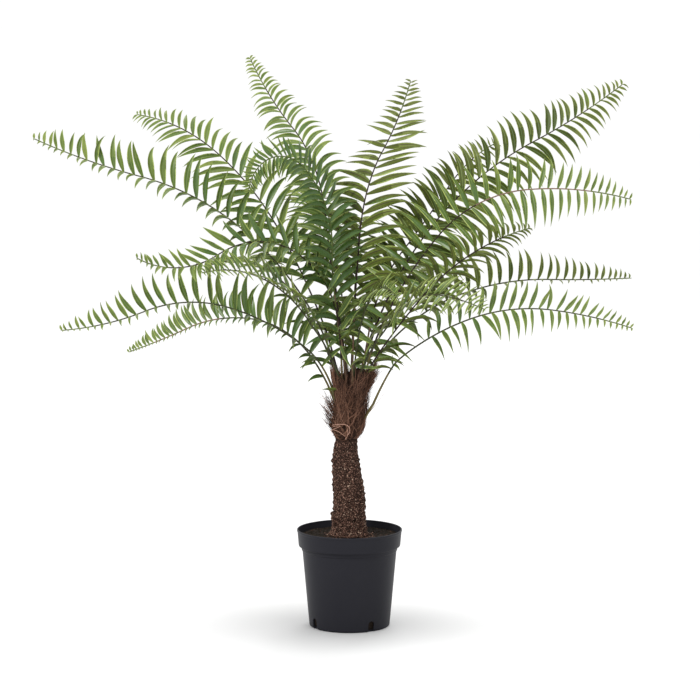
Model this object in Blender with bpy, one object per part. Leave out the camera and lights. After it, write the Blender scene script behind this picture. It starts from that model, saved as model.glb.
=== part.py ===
# Potted artificial tree fern: a nursery pot filled to just under its rim, a trunk coated
# in crumbed fibre, a fibre collar, and pinnate fronds on wired stems that stand in it.
# Metres and degrees. +Z is up, -Y is the front, and the origin is in the middle of the
# pot's flat underside. Azimuth is measured from +X towards +Y.
import math
import random
from collections import namedtuple

import bmesh
import bpy
from mathutils import Vector
from mathutils.bvhtree import BVHTree

SEED = 17
CLEAR = 0.0003  # gap between one sub-part and the next
UP = Vector((0.0, 0.0, 1.0))

# Nursery pot
POT_HEIGHT = 0.161
RIM_RADIUS = 0.085
RIM_DEPTH = 0.028
RIM_SLOPE = 0.0035
STEP_IN = 0.0047
BEAD_DEPTH = 0.0065
BEAD_IN = 0.0012
FOOT_RADIUS = 0.0645
FOOT_ROUND = 0.005
POT_WALL = 0.0021
POT_SIDES = 48
NOTCH_WIDTH = 0.011
NOTCH_HEIGHT = 0.018
NOTCH_COUNT = 4
NOTCH_TURN = -58.0

# Filling that the trunk stands on
FILL_LEVEL = 0.151
FILL_SEAT = 0.034
FILL_RUFFLE = 0.0012

# Trunk: height above the filling, radius and drift towards +X
TRUNK_RINGS = (
    (0.000, 0.0290, -0.0015),
    (0.014, 0.0278, -0.0010),
    (0.040, 0.0256, 0.0000),
    (0.076, 0.0258, -0.0015),
    (0.112, 0.0240, -0.0045),
    (0.140, 0.0205, -0.0062),
    (0.160, 0.0182, -0.0065),
)
TRUNK_SIDES = 18
TRUNK_LEVELS = 22
TRUNK_BULGES = 7
BULGE_DEPTH = 0.0011
CRUMB_DEPTH = 0.0011

# Fibre collar: height above the trunk's top, outer radius and drift towards +X
COLLAR_RINGS = (
    (0.000, 0.0184, -0.0065),
    (0.005, 0.0225, -0.0060),
    (0.012, 0.0268, -0.0035),
    (0.034, 0.0272, -0.0005),
    (0.050, 0.0292, 0.0010),
    (0.066, 0.0330, 0.0020),
    (0.082, 0.0380, 0.0030),
    (0.105, 0.0425, 0.0040),
)
COLLAR_SIDES = 44
COLLAR_WALL = 0.0032
COLLAR_FLOOR = 0.034
COLLAR_TUFTS = (0.060, 0.100)
COLLAR_LOW = 0.003
TUFT_LEVELS = 4

# Fronds
STEM_WIDTH = 0.0034
RIB_WIDTH = 0.0026
RIB_TIP_WIDTH = 0.0012
RIB_THICKNESS = 0.8
STEM_PART = 0.14
STEM_STEPS = 4
PAIRS = 13
PAIR_SPREAD = 1.15
ROOT_PART = 0.34
LEAFLET_PART = 0.52
LEAFLET_THICKNESS = 0.0013
LEAFLET_BELLY = 0.42
SWEEP = 47.0
DROOP = 0.14
SAG = 0.08
CURVE_STEPS = 240
CORNERS = ((-1, 1), (-1, -1), (1, -1), (1, 1))  # of a rib or a blade, in turn

# azimuth, turn, rise at five even stations, length, longest leaflet, roll, lift, foot's
# distance from the axis, how late the leaflets start to shorten, how far they curl back
# from the tip, and where a frond that bends round a gap is split
Frond = namedtuple("Frond", "azimuth turn rise length leaflet roll lift foot fullness curl split")
FRONDS = (
    Frond(180, 45, (90, 80, 90, 45, -80), 0.57, 0.105, -70, 10, 0.0040, 2.2, 0.40, 0.78),
    Frond(185, 0, (90, 60, 40, 15, 25), 0.73, 0.098, -50, 40, 0.0145, 5.0, 0.28, None),
    Frond(150, 0, (85, 65, 55, 35, 5), 0.68, 0.094, -45, 10, 0.0110, 3.0, 0.40, None),
    Frond(128, 0, (90, 75, 80, 35, 52), 0.672, 0.094, -40, 10, 0.0065, 2.2, 0.40, None),
    Frond(60, 0, (90, 85, 80, 40, 60), 0.607, 0.105, 175, 10, 0.0080, 2.6, 0.46, None),
    Frond(20, 0, (85, 65, 45, 25, 35), 0.76, 0.098, 65, 10, 0.0120, 3.0, 0.36, None),
    Frond(-10, 0, (85, 65, 50, 5, -15), 0.67, 0.096, 75, 10, 0.0140, 3.6, 0.24, 0.55),
    Frond(195, 0, (90, 38, 18, -20, -2), 0.56, 0.088, -50, 40, 0.0195, 2.8, 0.32, 0.34),
    Frond(10, 0, (90, 45, 18, -2, 2), 0.57, 0.088, 50, 45, 0.0190, 2.8, 0.30, 0.34),
    Frond(-20, 0, (72, 38, 20, -5, -16), 0.535, 0.076, 60, 15, 0.0200, 2.6, 0.30, 0.34),
    Frond(205, 0, (90, 85, 35, -30, 30), 0.59, 0.088, -45, 35, 0.0120, 3.0, 0.42, 0.50),
    Frond(45, 0, (80, 75, 40, 45, 15), 0.59, 0.094, -125, 10, 0.0150, 3.0, 0.40, None),
    Frond(-40, 0, (85, 50, 45, 30, 15), 0.50, 0.088, -45, 25, 0.0170, 3.0, 0.40, None),
    Frond(235, 0, (70, 60, 35, 15, -5), 0.50, 0.088, -35, 30, 0.0180, 3.0, 0.40, None),
    Frond(-60, 0, (70, 55, 30, 0, -10), 0.50, 0.088, 40, 20, 0.0170, 3.0, 0.40, 0.50),
    Frond(160, 0, (75, 50, 5, -25, -20), 0.47, 0.072, -45, 30, 0.0180, 3.0, 0.34, 0.45),
    Frond(85, 0, (80, 65, 55, 40, -30), 0.45, 0.077, 0, 10, 0.0140, 3.0, 0.40, None),
    Frond(105, 0, (85, 65, 45, 20, 0), 0.56, 0.094, 0, 15, 0.0102, 3.0, 0.40, None),
    Frond(122, 0, (75, 45, 25, 0, -15), 0.56, 0.088, 0, 20, 0.0170, 3.0, 0.40, 0.40),
    Frond(68, 0, (75, 45, 20, 0, -10), 0.54, 0.088, 0, 20, 0.0190, 3.0, 0.40, 0.40),
    Frond(95, 0, (75, 50, 25, 5, -10), 0.58, 0.088, 0, 20, 0.0190, 3.0, 0.40, 0.50),
    Frond(285, 0, (85, 70, 40, 10, -20), 0.42, 0.072, 45, 20, 0.0142, 2.5, 0.40, 0.40),
)


def clear_scene():
    for thing in list(bpy.data.objects):
        bpy.data.objects.remove(thing, do_unlink=True)


def make_material(name, colour, roughness):
    material = bpy.data.materials.new(name)
    material.use_nodes = True
    shader = material.node_tree.nodes["Principled BSDF"]
    shader.inputs["Base Color"].default_value = (*colour, 1.0)
    shader.inputs["Roughness"].default_value = roughness
    shader.inputs["Metallic"].default_value = 0.0
    return material


def add_object(name, points, faces, material):
    """One mesh object with outward normals and its own material."""
    shape = bmesh.new()
    corners = [shape.verts.new(point) for point in points]
    for face in faces:
        shape.faces.new([corners[i] for i in face])
    bmesh.ops.recalc_face_normals(shape, faces=shape.faces)
    mesh = bpy.data.meshes.new(name)
    shape.to_mesh(mesh)
    shape.free()
    mesh.materials.append(material)
    thing = bpy.data.objects.new(name, mesh)
    bpy.context.scene.collection.objects.link(thing)
    return thing


def skin(rings):
    """Points and faces of a closed skin over rings, where a ring of one point is a pole."""
    points = [point for ring in rings for point in ring]
    faces = []
    start = 0
    for low, high in zip(rings, rings[1:]):
        above = start + len(low)
        count = max(len(low), len(high))
        for i in range(count):
            j = (i + 1) % count
            if len(low) == 1:
                faces.append((start, above + i, above + j))
            elif len(high) == 1:
                faces.append((start + i, start + j, above))
            else:
                faces.append((start + i, start + j, above + j, above + i))
        start = above
    return points, faces


def circle(radius, height, sides, drift=0.0):
    if radius == 0.0:
        return [Vector((drift, 0.0, height))]
    steps = (math.tau * i / sides for i in range(sides))
    return [Vector((drift + radius * math.cos(a), radius * math.sin(a), height)) for a in steps]


def between(stations, at):
    """Linear reading of a table whose first column is the station."""
    for low, high in zip(stations, stations[1:]):
        if at <= high[0]:
            part = (at - low[0]) / (high[0] - low[0])
            return [a + (b - a) * part for a, b in zip(low[1:], high[1:])]
    return list(stations[-1][1:])


def wall_radius(height):
    """Outer radius of the pot's body at a height."""
    step = POT_HEIGHT - RIM_DEPTH
    top = RIM_RADIUS - RIM_SLOPE - STEP_IN
    return FOOT_RADIUS + (top - FOOT_RADIUS) * (height - FOOT_ROUND) / (step - FOOT_ROUND)


def make_pot(material):
    step = POT_HEIGHT - RIM_DEPTH
    bead = step - BEAD_DEPTH
    rim_foot = RIM_RADIUS - RIM_SLOPE
    ring_edge = FOOT_RADIUS - FOOT_ROUND
    lip = POT_WALL * 0.4
    profile = (
        (0.0, 0.0),
        (ring_edge, 0.0),
        (FOOT_RADIUS - FOOT_ROUND * 0.35, FOOT_ROUND * 0.3),
        (FOOT_RADIUS, FOOT_ROUND),
        (wall_radius(bead) - BEAD_IN, bead - BEAD_IN),
        (wall_radius(bead), bead),
        (wall_radius(step), step),
        (rim_foot, step + lip),
        (RIM_RADIUS, POT_HEIGHT - lip),
        (RIM_RADIUS - lip, POT_HEIGHT),
        (RIM_RADIUS - POT_WALL + lip, POT_HEIGHT),
        (RIM_RADIUS - POT_WALL, POT_HEIGHT - lip),
        (rim_foot - POT_WALL, step + POT_WALL),
        (wall_radius(step) - POT_WALL - BEAD_IN, step - POT_WALL),
        (FOOT_RADIUS - POT_WALL, FOOT_ROUND + POT_WALL),
        (ring_edge, POT_WALL),
        (0.0, POT_WALL),
    )
    rings = [circle(radius, height, POT_SIDES) for radius, height in profile]
    pot = add_object("pot", *skin(rings), material)
    for i in range(NOTCH_COUNT):
        cut_notch(pot, math.radians(NOTCH_TURN) + math.tau * i / NOTCH_COUNT)
    return pot


def cut_notch(pot, angle):
    """An arched drainage notch through the corner between the pot's wall and its base."""
    outward = Vector((math.cos(angle), math.sin(angle), 0.0))
    across = UP.cross(outward)
    half = NOTCH_WIDTH / 2
    outline = [(-half, -FOOT_ROUND), (half, -FOOT_ROUND)]
    for i in range(7):
        turn = math.pi * i / 6
        outline.append((half * math.cos(turn), NOTCH_HEIGHT - half + half * math.sin(turn)))
    near = FOOT_RADIUS - FOOT_ROUND * 0.9
    far = FOOT_RADIUS + FOOT_ROUND * 2
    ends = []
    for reach in (near, far):
        ends.append([outward * reach + across * x + UP * z for x, z in outline])
    middle = [sum(end, Vector()) / len(end) for end in ends]
    cutter = add_object("notch_cutter", *skin([[middle[0]], *ends, [middle[1]]]), None)
    cutter.hide_render = True
    cutter.display_type = "WIRE"
    notch = pot.modifiers.new("drainage notch", "BOOLEAN")
    notch.operation = "DIFFERENCE"
    notch.solver = "EXACT"
    notch.object = cutter


def make_filling(material, rng):
    """The weighted filling that hides in the pot, with its crumbed top left in view."""
    floor = POT_WALL + CLEAR * 2
    step = POT_HEIGHT - RIM_DEPTH
    inner = wall_radius(step) - POT_WALL - BEAD_IN - CLEAR * 2
    rim = RIM_RADIUS - RIM_SLOPE - POT_WALL - CLEAR * 3
    side = FOOT_RADIUS - POT_WALL - CLEAR * 3
    rings = [
        circle(0.0, floor, POT_SIDES),
        circle(FOOT_RADIUS - FOOT_ROUND - CLEAR * 2, floor, POT_SIDES),
        circle(side, FOOT_ROUND + POT_WALL + CLEAR, POT_SIDES),
        circle(inner, step - POT_WALL, POT_SIDES),
        circle(rim, step + POT_WALL + CLEAR * 4, POT_SIDES),
        circle(rim, FILL_LEVEL - FILL_RUFFLE * 2, POT_SIDES),
    ]
    for part in (0.9, 0.72, 0.55):
        ring = circle(rim * part, FILL_LEVEL - FILL_RUFFLE, POT_SIDES)
        for point in ring:
            point.z += rng.uniform(-FILL_RUFFLE, FILL_RUFFLE)
        rings.append(ring)
    rings.append(circle(FILL_SEAT, FILL_LEVEL, POT_SIDES))
    rings.append(circle(0.0, FILL_LEVEL, POT_SIDES))
    return add_object("pot_filling", *skin(rings), material)


def make_trunk(material, rng):
    """A flared trunk, cut flat at the filling, with a crumbed and ringed surface."""
    foot = FILL_LEVEL + CLEAR
    top = TRUNK_RINGS[-1][0]
    rings = [circle(0.0, foot, TRUNK_SIDES, TRUNK_RINGS[0][2])]
    for level in range(TRUNK_LEVELS + 1):
        height = top * level / TRUNK_LEVELS
        radius, drift = between(TRUNK_RINGS, height)
        radius += BULGE_DEPTH * math.sin(math.tau * TRUNK_BULGES * height / top)
        ring = circle(radius, foot + height, TRUNK_SIDES, drift)
        for point in ring:
            outward = Vector((point.x - drift, point.y, 0.0)).normalized()
            point += outward * rng.uniform(-CRUMB_DEPTH, CRUMB_DEPTH)
        rings.append(ring)
    rings.append(circle(0.0, foot + top, TRUNK_SIDES, TRUNK_RINGS[-1][2]))
    return add_object("trunk", *skin(rings), material)


def collar_base():
    return FILL_LEVEL + CLEAR + TRUNK_RINGS[-1][0] + CLEAR


def stem_foot():
    """Height of the collar's floor, where the stems stand, with their clearance."""
    return collar_base() + COLLAR_FLOOR + CLEAR


def make_collar(material, rng):
    """A cup of upright fibre whose wall drops wherever a stem leans out through it."""
    base = collar_base()
    curves = [rib_points(frond)[0] for frond in FRONDS]
    tops = []
    for side in range(COLLAR_SIDES):
        angle = math.tau * side / COLLAR_SIDES
        low, high = COLLAR_TUFTS
        top = high if side % 2 else low
        top += rng.uniform(-0.2, 0.1) * (high - low)
        for curve in curves:
            top = min(top, wall_under(curve, angle, base, top))
        tops.append(max(top, COLLAR_FLOOR + COLLAR_LOW))

    def ring_at(part, inset):
        ring = []
        for side, top in enumerate(tops):
            start = COLLAR_FLOOR
            height = start + (top - start) * part
            radius, drift = between(COLLAR_RINGS, height)
            angle = math.tau * side / COLLAR_SIDES
            reach = radius - inset
            point = Vector((drift + reach * math.cos(angle), reach * math.sin(angle), base + height))
            ring.append(point)
        return ring

    rings = [circle(0.0, base, COLLAR_SIDES, COLLAR_RINGS[0][2])]
    for height, radius, drift in COLLAR_RINGS[:3]:
        rings.append(circle(radius, base + height, COLLAR_SIDES, drift))
    for level in range(TUFT_LEVELS + 1):
        rings.append(ring_at(level / TUFT_LEVELS, 0.0))
    for level in range(TUFT_LEVELS, -1, -1):
        rings.append(ring_at(level / TUFT_LEVELS, COLLAR_WALL * (1.0 - 0.5 * level / TUFT_LEVELS)))
    drift = between(COLLAR_RINGS, COLLAR_FLOOR)[1]
    rings.append(circle(0.0, base + COLLAR_FLOOR, COLLAR_SIDES, drift))
    return add_object("fibre_collar", *skin(rings), material)


def wall_under(curve, angle, base, top):
    """Height that the collar's wall can reach at an angle and stay under a stem."""
    reach = STEM_WIDTH * 1.1
    for point in curve:
        height = point.z - base
        if height > top + reach:
            break
        radius, drift = between(COLLAR_RINGS, height)
        inner = radius - COLLAR_WALL
        flat = Vector((point.x - drift, point.y))
        beside = flat.length * math.sin(abs(math.remainder(math.atan2(flat.y, flat.x) - angle, math.tau)))
        facing = flat.dot(Vector((math.cos(angle), math.sin(angle)))) > 0.0
        if facing and beside < STEM_WIDTH * 2 and flat.length > inner - STEM_WIDTH * 1.2:
            return height - reach
    return top


def rib_points(frond):
    """Points, tangents and blade normals along a frond's rib."""
    azimuth = math.radians(frond.azimuth)
    outward = Vector((math.cos(azimuth), math.sin(azimuth), 0.0))
    point = outward * frond.foot + UP * stem_foot()
    stations = len(frond.rise) - 1
    points = [point]
    tangents = []
    normals = []
    for step in range(CURVE_STEPS + 1):
        along = min(step + 0.5, CURVE_STEPS - 0.5) / CURVE_STEPS
        place = along * stations
        low = int(place)
        rise = frond.rise[low] + (frond.rise[low + 1] - frond.rise[low]) * (place - low)
        heading = math.radians(frond.azimuth + frond.turn * along)
        side = Vector((math.sin(heading), -math.cos(heading), 0.0))
        ahead = Vector((math.cos(heading), math.sin(heading), 0.0))
        tangent = ahead * math.cos(math.radians(rise)) + UP * math.sin(math.radians(rise))
        upper = side.cross(tangent)
        roll = math.radians(frond.roll)
        tangents.append(tangent)
        normals.append(upper * math.cos(roll) + side * math.sin(roll))
        if step < CURVE_STEPS:
            point = point + tangent * (frond.length / CURVE_STEPS)
            points.append(point)
    return points, tangents, normals


def rib_frame(curve, along):
    """Point, tangent, blade normal and side of a rib at a fraction of its length."""
    points, tangents, normals = curve
    place = along * CURVE_STEPS
    low = min(int(place), CURVE_STEPS - 1)
    point = points[low].lerp(points[low + 1], place - low)
    return point, tangents[low], normals[low], tangents[low].cross(normals[low])


def rib_width(along):
    if along < STEM_PART:
        return STEM_WIDTH + (RIB_WIDTH - STEM_WIDTH) * along / STEM_PART
    return RIB_WIDTH + (RIB_TIP_WIDTH - RIB_WIDTH) * (along - STEM_PART) / (1.0 - STEM_PART)


def leaflet_size(frond, blade_part):
    """A leaflet's length as a share of the longest: full near the foot, small at the tip."""
    return min(0.75 + 1.2 * blade_part, 1.0) * (0.1 + 0.9 * (1.0 - blade_part**frond.fullness) ** 0.85)


def leaflet_points(frond, frame, blade_part, hand, root, width, grow=0.0):
    """The belly's four corners and the tip of a leaflet that grows from a root point."""
    point, tangent, normal, side = frame
    length = frond.leaflet * leaflet_size(frond, blade_part)
    sweep = math.radians(SWEEP)
    lift = math.radians(frond.lift)
    across = side * (hand * math.cos(lift)) + normal * math.sin(lift)
    ahead = tangent * math.cos(sweep) + across * math.sin(sweep)
    bend = -tangent * frond.curl - normal * DROOP - UP * SAG

    def reach(part):
        return root + (ahead * part + bend * part**2) * length

    belly = reach(LEAFLET_BELLY)
    along = (reach(LEAFLET_BELLY + 0.1) - reach(LEAFLET_BELLY - 0.1)).normalized()
    thick = along.cross(tangent).normalized() * hand
    wide = thick.cross(along) * hand
    half = width / 2 + grow
    deep = LEAFLET_THICKNESS / 2 + grow
    corners = [belly + wide * (half * u) + thick * (deep * v) for u, v in CORNERS]
    return corners, reach(1.0 + grow / length)


def pair_places(frond):
    """Blade part and middle of each pair of leaflets, with the step to the next pair."""
    places = []
    edges = [1.0 - (1.0 - i / PAIRS) ** PAIR_SPREAD for i in range(PAIRS + 1)]
    for low, high in zip(edges, edges[1:]):
        middle = (low + high) / 2
        places.append((middle, STEM_PART + (1.0 - STEM_PART) * middle, (1.0 - STEM_PART) * (high - low)))
    return places


def leaflet_probe(frond, curve, place, hand):
    """A leaflet swollen by the clearance, to be tested against what is already there."""
    blade_part, along, step = place
    frame = rib_frame(curve, along)
    side = frame[3] * (hand * rib_width(along) / 2)
    width = step * frond.length * LEAFLET_PART
    corners, tip = leaflet_points(frond, frame, blade_part, hand, frame[0] + side, width, CLEAR * 2)
    root_half = step * frond.length * ROOT_PART / 2 + CLEAR
    deep = rib_width(along) * RIB_THICKNESS / 2
    root = []
    for u, v in CORNERS:
        root.append(frame[0] + side * 1.4 + frame[1] * (root_half * u) + frame[2] * (deep * v))
    points, faces = skin([root, corners, [tip]])
    return points, faces


def rib_probe(curve):
    """The bare rib, swollen by the clearance."""
    rings = []
    for i in range(0, 41):
        point, _, normal, side = rib_frame(curve, i / 40)
        half = rib_width(i / 40) / 2 + CLEAR
        rings.append([point + side * (half * u) + normal * (half * v) for u, v in CORNERS])
    return skin(rings)


def merge_shapes(shapes):
    points = []
    faces = []
    for more_points, more_faces in shapes:
        start = len(points)
        points.extend(more_points)
        faces.extend(tuple(i + start for i in face) for face in more_faces)
    return BVHTree.FromPolygons(points, faces)


def choose_leaflets(collar):
    """The leaflets of every frond that touch no rib, collar or other leaflet."""
    curves = [rib_points(frond) for frond in FRONDS]
    ribs = [rib_probe(curve) for curve in curves]
    corners = [corner.co.copy() for corner in collar.data.vertices]
    placed = [(corners, [tuple(face.vertices) for face in collar.data.polygons])]
    chosen = []
    for index, (frond, curve) in enumerate(zip(FRONDS, curves)):
        others = merge_shapes(ribs[:index] + ribs[index + 1:] + placed)
        mine = []
        kept = {}
        for number, place in enumerate(pair_places(frond)):
            for hand in (-1, 1):
                probe = leaflet_probe(frond, curve, place, hand)
                tree = BVHTree.FromPolygons(*probe)
                if tree.overlap(others) or any(tree.overlap(tree_of) for tree_of in mine[-4:]):
                    continue
                mine.append(tree)
                placed.append(probe)
                kept[number, hand] = True
        chosen.append(kept)
    return curves, chosen


def frond_mesh(frond, curve, kept, first, last):
    """Points and faces of one frond, or of its piece between two fractions."""
    points = []
    faces = []

    def add_ring(along):
        point, tangent, normal, side = rib_frame(curve, along)
        half = rib_width(along) / 2
        deep = half * RIB_THICKNESS
        start = len(points)
        for u, v in CORNERS:
            corner = point + side * (half * u) + normal * (deep * v)
            if along == 0.0:  # the foot is cut level
                corner += tangent * ((point.z - corner.z) / tangent.z)
            points.append(corner)
        return start

    stations = [(STEM_PART * i / STEM_STEPS, None) for i in range(STEM_STEPS)]
    for number, (_, middle, step) in enumerate(pair_places(frond)):
        root = step * ROOT_PART / 2
        stations.append((middle - root, number))
        stations.append((middle + root, None))
    stations = [(along, number) for along, number in stations if first <= along <= last]
    if stations[0][0] > first:
        stations.insert(0, (first, None))
    if last < 1.0:
        stations.append((last, None))

    rings = [(add_ring(along), number) for along, number in stations]
    for (low, number), (high, _) in zip(rings, rings[1:]):
        for i in range(4):
            j = (i + 1) % 4
            hand = {0: -1, 2: 1}.get(i)
            wall = (low + i, low + j, high + j, high + i)
            if number is not None and (number, hand) in kept:
                faces.extend(add_leaflet(points, frond, curve, number, hand, wall))
            else:
                faces.append(wall)
    start = rings[0][0]
    faces.append((start, start + 1, start + 2, start + 3))
    end = rings[-1][0]
    if last < 1.0:
        faces.append((end, end + 1, end + 2, end + 3))
    else:
        points.append(rib_frame(curve, 1.0)[0])
        tip = len(points) - 1
        faces.extend((end + i, end + (i + 1) % 4, tip) for i in range(4))
    return points, faces


def add_leaflet(points, frond, curve, number, hand, wall):
    """Faces of a leaflet drawn out of one side wall of the rib."""
    blade_part, along, step = pair_places(frond)[number]
    frame = rib_frame(curve, along)
    root = frame[0] + frame[3] * (hand * rib_width(along) / 2)
    width = step * frond.length * LEAFLET_PART
    corners, tip = leaflet_points(frond, frame, blade_part, hand, root, width)
    match = (0, 1, 2, 3) if hand < 0 else (1, 0, 3, 2)
    start = len(points)
    points.extend(corners)
    points.append(tip)
    faces = []
    for i in range(4):
        j = (i + 1) % 4
        faces.append((wall[i], wall[j], start + match[j], start + match[i]))
        faces.append((start + match[i], start + match[j], start + 4))
    return faces


def make_fronds(material, collar):
    curves, chosen = choose_leaflets(collar)
    for number, (frond, curve, kept) in enumerate(zip(FRONDS, curves, chosen), start=1):
        name = f"frond_{number:02d}"
        if frond.split is None:
            add_object(name, *frond_mesh(frond, curve, kept, 0.0, 1.0), material)
            continue
        split = split_place(frond)
        gap = CLEAR / 2 / frond.length
        add_object(name, *frond_mesh(frond, curve, kept, 0.0, split - gap), material)
        add_object(f"{name}_outer", *frond_mesh(frond, curve, kept, split + gap, 1.0), material)


def split_place(frond):
    """The split moved to the bare stretch of rib between two pairs of leaflets."""
    middles = [middle for _, middle, _ in pair_places(frond)]
    low = max(middle for middle in middles if middle <= frond.split)
    high = min(middle for middle in middles if middle > frond.split)
    return (low + high) / 2


def main():
    clear_scene()
    rng = random.Random(SEED)
    make_pot(make_material("pot plastic", (0.040, 0.041, 0.047), 0.55))
    make_filling(make_material("filling crumb", (0.050, 0.032, 0.022), 0.95), rng)
    make_trunk(make_material("trunk crumb", (0.075, 0.045, 0.030), 0.90), rng)
    collar = make_collar(make_material("collar fibre", (0.070, 0.036, 0.022), 0.85), rng)
    make_fronds(make_material("frond plastic", (0.065, 0.150, 0.035), 0.50), collar)


main()
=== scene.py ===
# Potted artificial tree fern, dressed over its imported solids. Metres, +Z up, front at -Y.
from math import cos, pi, radians, sin, tau

import bpy
import numpy as np
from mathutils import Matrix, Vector, noise


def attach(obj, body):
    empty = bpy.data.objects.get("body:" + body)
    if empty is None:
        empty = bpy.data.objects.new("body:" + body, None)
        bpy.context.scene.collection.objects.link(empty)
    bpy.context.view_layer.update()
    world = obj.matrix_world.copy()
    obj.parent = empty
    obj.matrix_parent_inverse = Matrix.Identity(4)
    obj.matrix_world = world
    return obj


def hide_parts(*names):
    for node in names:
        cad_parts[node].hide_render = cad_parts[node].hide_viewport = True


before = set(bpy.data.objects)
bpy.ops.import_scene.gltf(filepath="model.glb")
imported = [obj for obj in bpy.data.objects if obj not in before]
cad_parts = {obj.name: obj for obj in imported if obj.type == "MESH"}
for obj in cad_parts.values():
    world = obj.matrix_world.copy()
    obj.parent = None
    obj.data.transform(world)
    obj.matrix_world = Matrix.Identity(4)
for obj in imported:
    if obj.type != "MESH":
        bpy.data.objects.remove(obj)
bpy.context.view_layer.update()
scene = bpy.context.scene
spray = np.random.default_rng(29)  # every scatter below draws from this one
uniform, gauss = spray.uniform, spray.normal
up = np.array((0, 0, 1))


class Reading:
    # a node's output; arithmetic on it lays down Math nodes
    def __init__(self, finish, socket):
        self.finish = finish
        self.socket = socket

    def worked(self, operation, first, second=0):
        return self.finish.node("Math", {"operation": operation}, {0: first, 1: second})

    def __add__(self, other):
        return self.worked("ADD", self, other)

    def __radd__(self, other):
        return self.worked("ADD", other, self)

    def __sub__(self, other):
        return self.worked("SUBTRACT", self, other)

    def __rsub__(self, other):
        return self.worked("SUBTRACT", other, self)

    def __mul__(self, other):
        return self.worked("MULTIPLY", self, other)

    def __rmul__(self, other):
        return self.worked("MULTIPLY", other, self)

    def __abs__(self):
        return self.worked("ABSOLUTE", self)


class Finish:
    # a material with its Principled surface; colours are (red, green, blue)
    def __init__(self, name, gloss):
        self.material = bpy.data.materials.new(name)
        self.material.use_nodes = True
        self.tree = self.material.node_tree
        self.surface = self.tree.nodes["Principled BSDF"]
        self.surface.inputs["Specular IOR Level"].default_value = gloss

    def node(self, kind, settings=None, feeds=None, out=0):
        made = self.tree.nodes.new("ShaderNode" + kind)
        for key, value in (settings or {}).items():
            if key == "stops":
                self.setStops(made.color_ramp.elements, value)
            else:
                setattr(made, key, value)
        for socket, value in (feeds or {}).items():
            self.feed(made.inputs[socket], value)
        return Reading(self, made.outputs[out])

    def setStops(self, elements, stops):
        while len(elements) < len(stops):
            elements.new(0.5)
        for element, (place, grey) in zip(elements, stops):
            element.position = place
            element.color = (grey, grey, grey, 1)

    def feed(self, socket, value):
        if isinstance(value, Reading):
            self.tree.links.new(value.socket, socket)
        else:
            socket.default_value = (*value, 1) if socket.type == "RGBA" else value

    def place(self):
        return self.node("TexCoord", out="Object")

    def scaled(self, scale):
        return self.node("Mapping", {}, {"Vector": self.place(), "Scale": scale})

    def cloud(self, scale, detail=3, roughness=0.55, upright=None):
        # noise, drawn out along Z where upright is under 1
        at = self.scaled((1, 1, upright)) if upright else self.place()
        feeds = {"Vector": at, "Scale": scale, "Detail": detail, "Roughness": roughness}
        return self.node("TexNoise", {}, feeds)

    def ramp(self, value, stops):
        return self.node("ValToRGB", {"stops": stops}, {0: value})

    def blend(self, mask, low, high):
        return self.node("Mix", {"data_type": "RGBA"}, {0: mask, 6: low, 7: high}, out=2)

    def mottled(self, value, start, end, low, high, most=1):
        # low, and high where the value climbs from start to end
        return self.blend(self.ramp(value, [(start, 0), (end, most)]), low, high)

    def wear(self, colour, roughness, height=None, depth=None, strength=None):
        self.feed(self.surface.inputs["Base Color"], colour)
        self.feed(self.surface.inputs["Roughness"], roughness)
        if height is not None:
            feeds = {"Strength": strength, "Distance": depth, "Height": height}
            self.feed(self.surface.inputs["Normal"], self.node("Bump", {}, feeds))
        return self.material


def unit(vectors):
    return vectors / np.maximum(np.linalg.norm(vectors, axis=-1, keepdims=True), 1e-12)


def polar(radius, angle, height, drift=0):
    # points round an upright axis that drifts in X
    parts = drift + radius * np.cos(angle), radius * np.sin(angle), height
    return np.stack(np.broadcast_arrays(*parts), axis=-1)


def shapeAt(rings, height):
    # radius and drift from (height, radius, drift) rings
    heights, radii, drifts = zip(*rings)
    return np.interp(height, heights, radii), np.interp(height, heights, drifts)


def placed(name, data):
    made = bpy.data.objects.new(name, data)
    scene.collection.objects.link(made)
    return made


def buildPiece(name, points, groups, finishes, nodes=(), smooth=True, crease=None, uv=None):
    # groups holds (faces of one size, finish numbers) pairs
    mesh = bpy.data.meshes.new(name)
    mesh.vertices.add(len(points))
    mesh.vertices.foreach_set("co", np.asarray(points, np.float32).ravel())
    corners = np.concatenate([faces.ravel() for faces, _ in groups]).astype(np.int32)
    sizes = np.concatenate([np.full(len(faces), faces.shape[1]) for faces, _ in groups])
    numbers = np.concatenate([np.broadcast_to(kind, len(faces)) for faces, kind in groups])
    mesh.loops.add(len(corners))
    mesh.loops.foreach_set("vertex_index", corners)
    mesh.polygons.add(len(sizes))
    mesh.polygons.foreach_set("loop_start", (np.cumsum(sizes) - sizes).astype(np.int32))
    mesh.update(calc_edges=True)
    mesh.polygons.foreach_set("material_index", numbers.astype(np.int32))
    mesh.polygons.foreach_set("use_smooth", np.full(len(sizes), smooth))
    if uv is not None:
        layer = mesh.uv_layers.new(name="bladePlace")
        layer.data.foreach_set("uv", uv[corners].astype(np.float32).ravel())
    mesh.validate()
    if crease is not None:
        mesh.set_sharp_from_angle(angle=radians(crease))
    for finish in finishes:
        mesh.materials.append(finish)
    piece = placed(name, mesh)
    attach(piece, "root")
    if nodes:
        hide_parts(*nodes)
    print("made", name, "with", len(sizes), "faces")
    return piece


def gridFaces(rows, sides):
    # quads between closed rows of points
    row = np.arange(rows - 1)[:, None] * sides
    side = np.arange(sides)
    following = (side + 1) % sides
    quads = row + side, row + following, row + following + sides, row + side + sides
    return np.stack(quads, axis=-1).reshape(-1, 4)


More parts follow.
